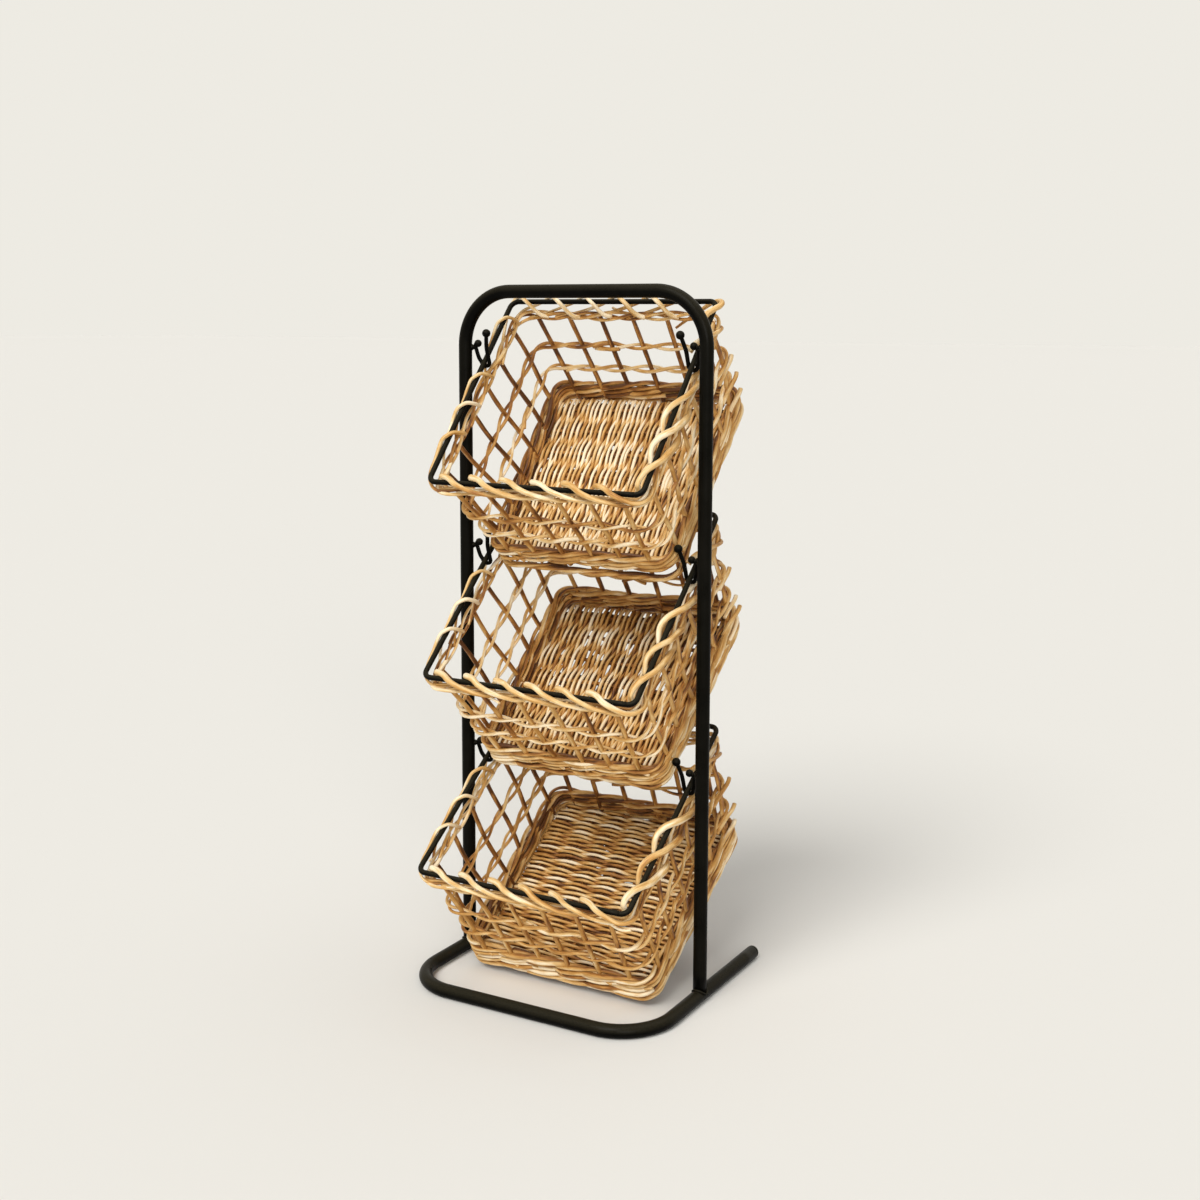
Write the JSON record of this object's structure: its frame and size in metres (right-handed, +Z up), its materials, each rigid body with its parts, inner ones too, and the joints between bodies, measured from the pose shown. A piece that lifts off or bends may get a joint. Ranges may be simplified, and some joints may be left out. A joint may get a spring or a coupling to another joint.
{
  "type": "tiered storage basket",
  "caption": "Free-standing bent tube stand with tilting wicker trays hung one above another in wire hooks, open towards the front, for fruit, vegetables or small household things.",
  "frame": {"origin": "on the floor, under the middle of the object's box", "axes": "+Z up, +Y to the back, +X to the right seen from the front"},
  "size_m": [0.255, 0.2412, 0.62],
  "materials": {
    "black_paint": "satin black powder coat on steel tube and wire",
    "plug_plastic": "matte black moulded plug",
    "willow_cane": "honey-brown round cane, lightly lacquered",
    "woven_mat": "dense plain weave of thin honey-brown cane"
  },
  "bodies": {
    "stand": {"base_loop": "black_paint", "arch_tube": "black_paint", "end_plug_left": "plug_plastic", "end_plug_right": "plug_plastic", "top_left_hook": "black_paint", "top_right_hook": "black_paint", "middle_left_hook": "black_paint", "middle_right_hook": "black_paint", "bottom_left_hook": "black_paint", "bottom_right_hook": "black_paint"},
    "top_tray": {"top_rim_wire": "black_paint", "top_border_band": "willow_cane", "top_front_wall": "willow_cane", "top_back_wall": "willow_cane", "top_left_wall": "willow_cane", "top_right_wall": "willow_cane", "top_base_wale": "willow_cane", "top_base_mat": "woven_mat"},
    "middle_tray": {"middle_rim_wire": "black_paint", "middle_border_band": "willow_cane", "middle_front_wall": "willow_cane", "middle_back_wall": "willow_cane", "middle_left_wall": "willow_cane", "middle_right_wall": "willow_cane", "middle_base_wale": "willow_cane", "middle_base_mat": "woven_mat"},
    "bottom_tray": {"bottom_rim_wire": "black_paint", "bottom_border_band": "willow_cane", "bottom_front_wall": "willow_cane", "bottom_back_wall": "willow_cane", "bottom_left_wall": "willow_cane", "bottom_right_wall": "willow_cane", "bottom_base_wale": "willow_cane", "bottom_base_mat": "woven_mat"}
  },
  "joints": [
    {"name": "top_swing", "type": "hinge", "parent": "stand", "child": "top_tray", "pos_m": [0, -0.0047, 0.54845], "axis": [1, 0, 0], "range_deg": [-40, 0.5]},
    {"name": "middle_swing", "type": "hinge", "parent": "stand", "child": "middle_tray", "pos_m": [0, -0.0047, 0.36863], "axis": [1, 0, 0], "range_deg": [-34, 0.5]},
    {"name": "bottom_swing", "type": "hinge", "parent": "stand", "child": "bottom_tray", "pos_m": [0, -0.0047, 0.18308], "axis": [1, 0, 0], "range_deg": [-26, 12]}
  ]
}
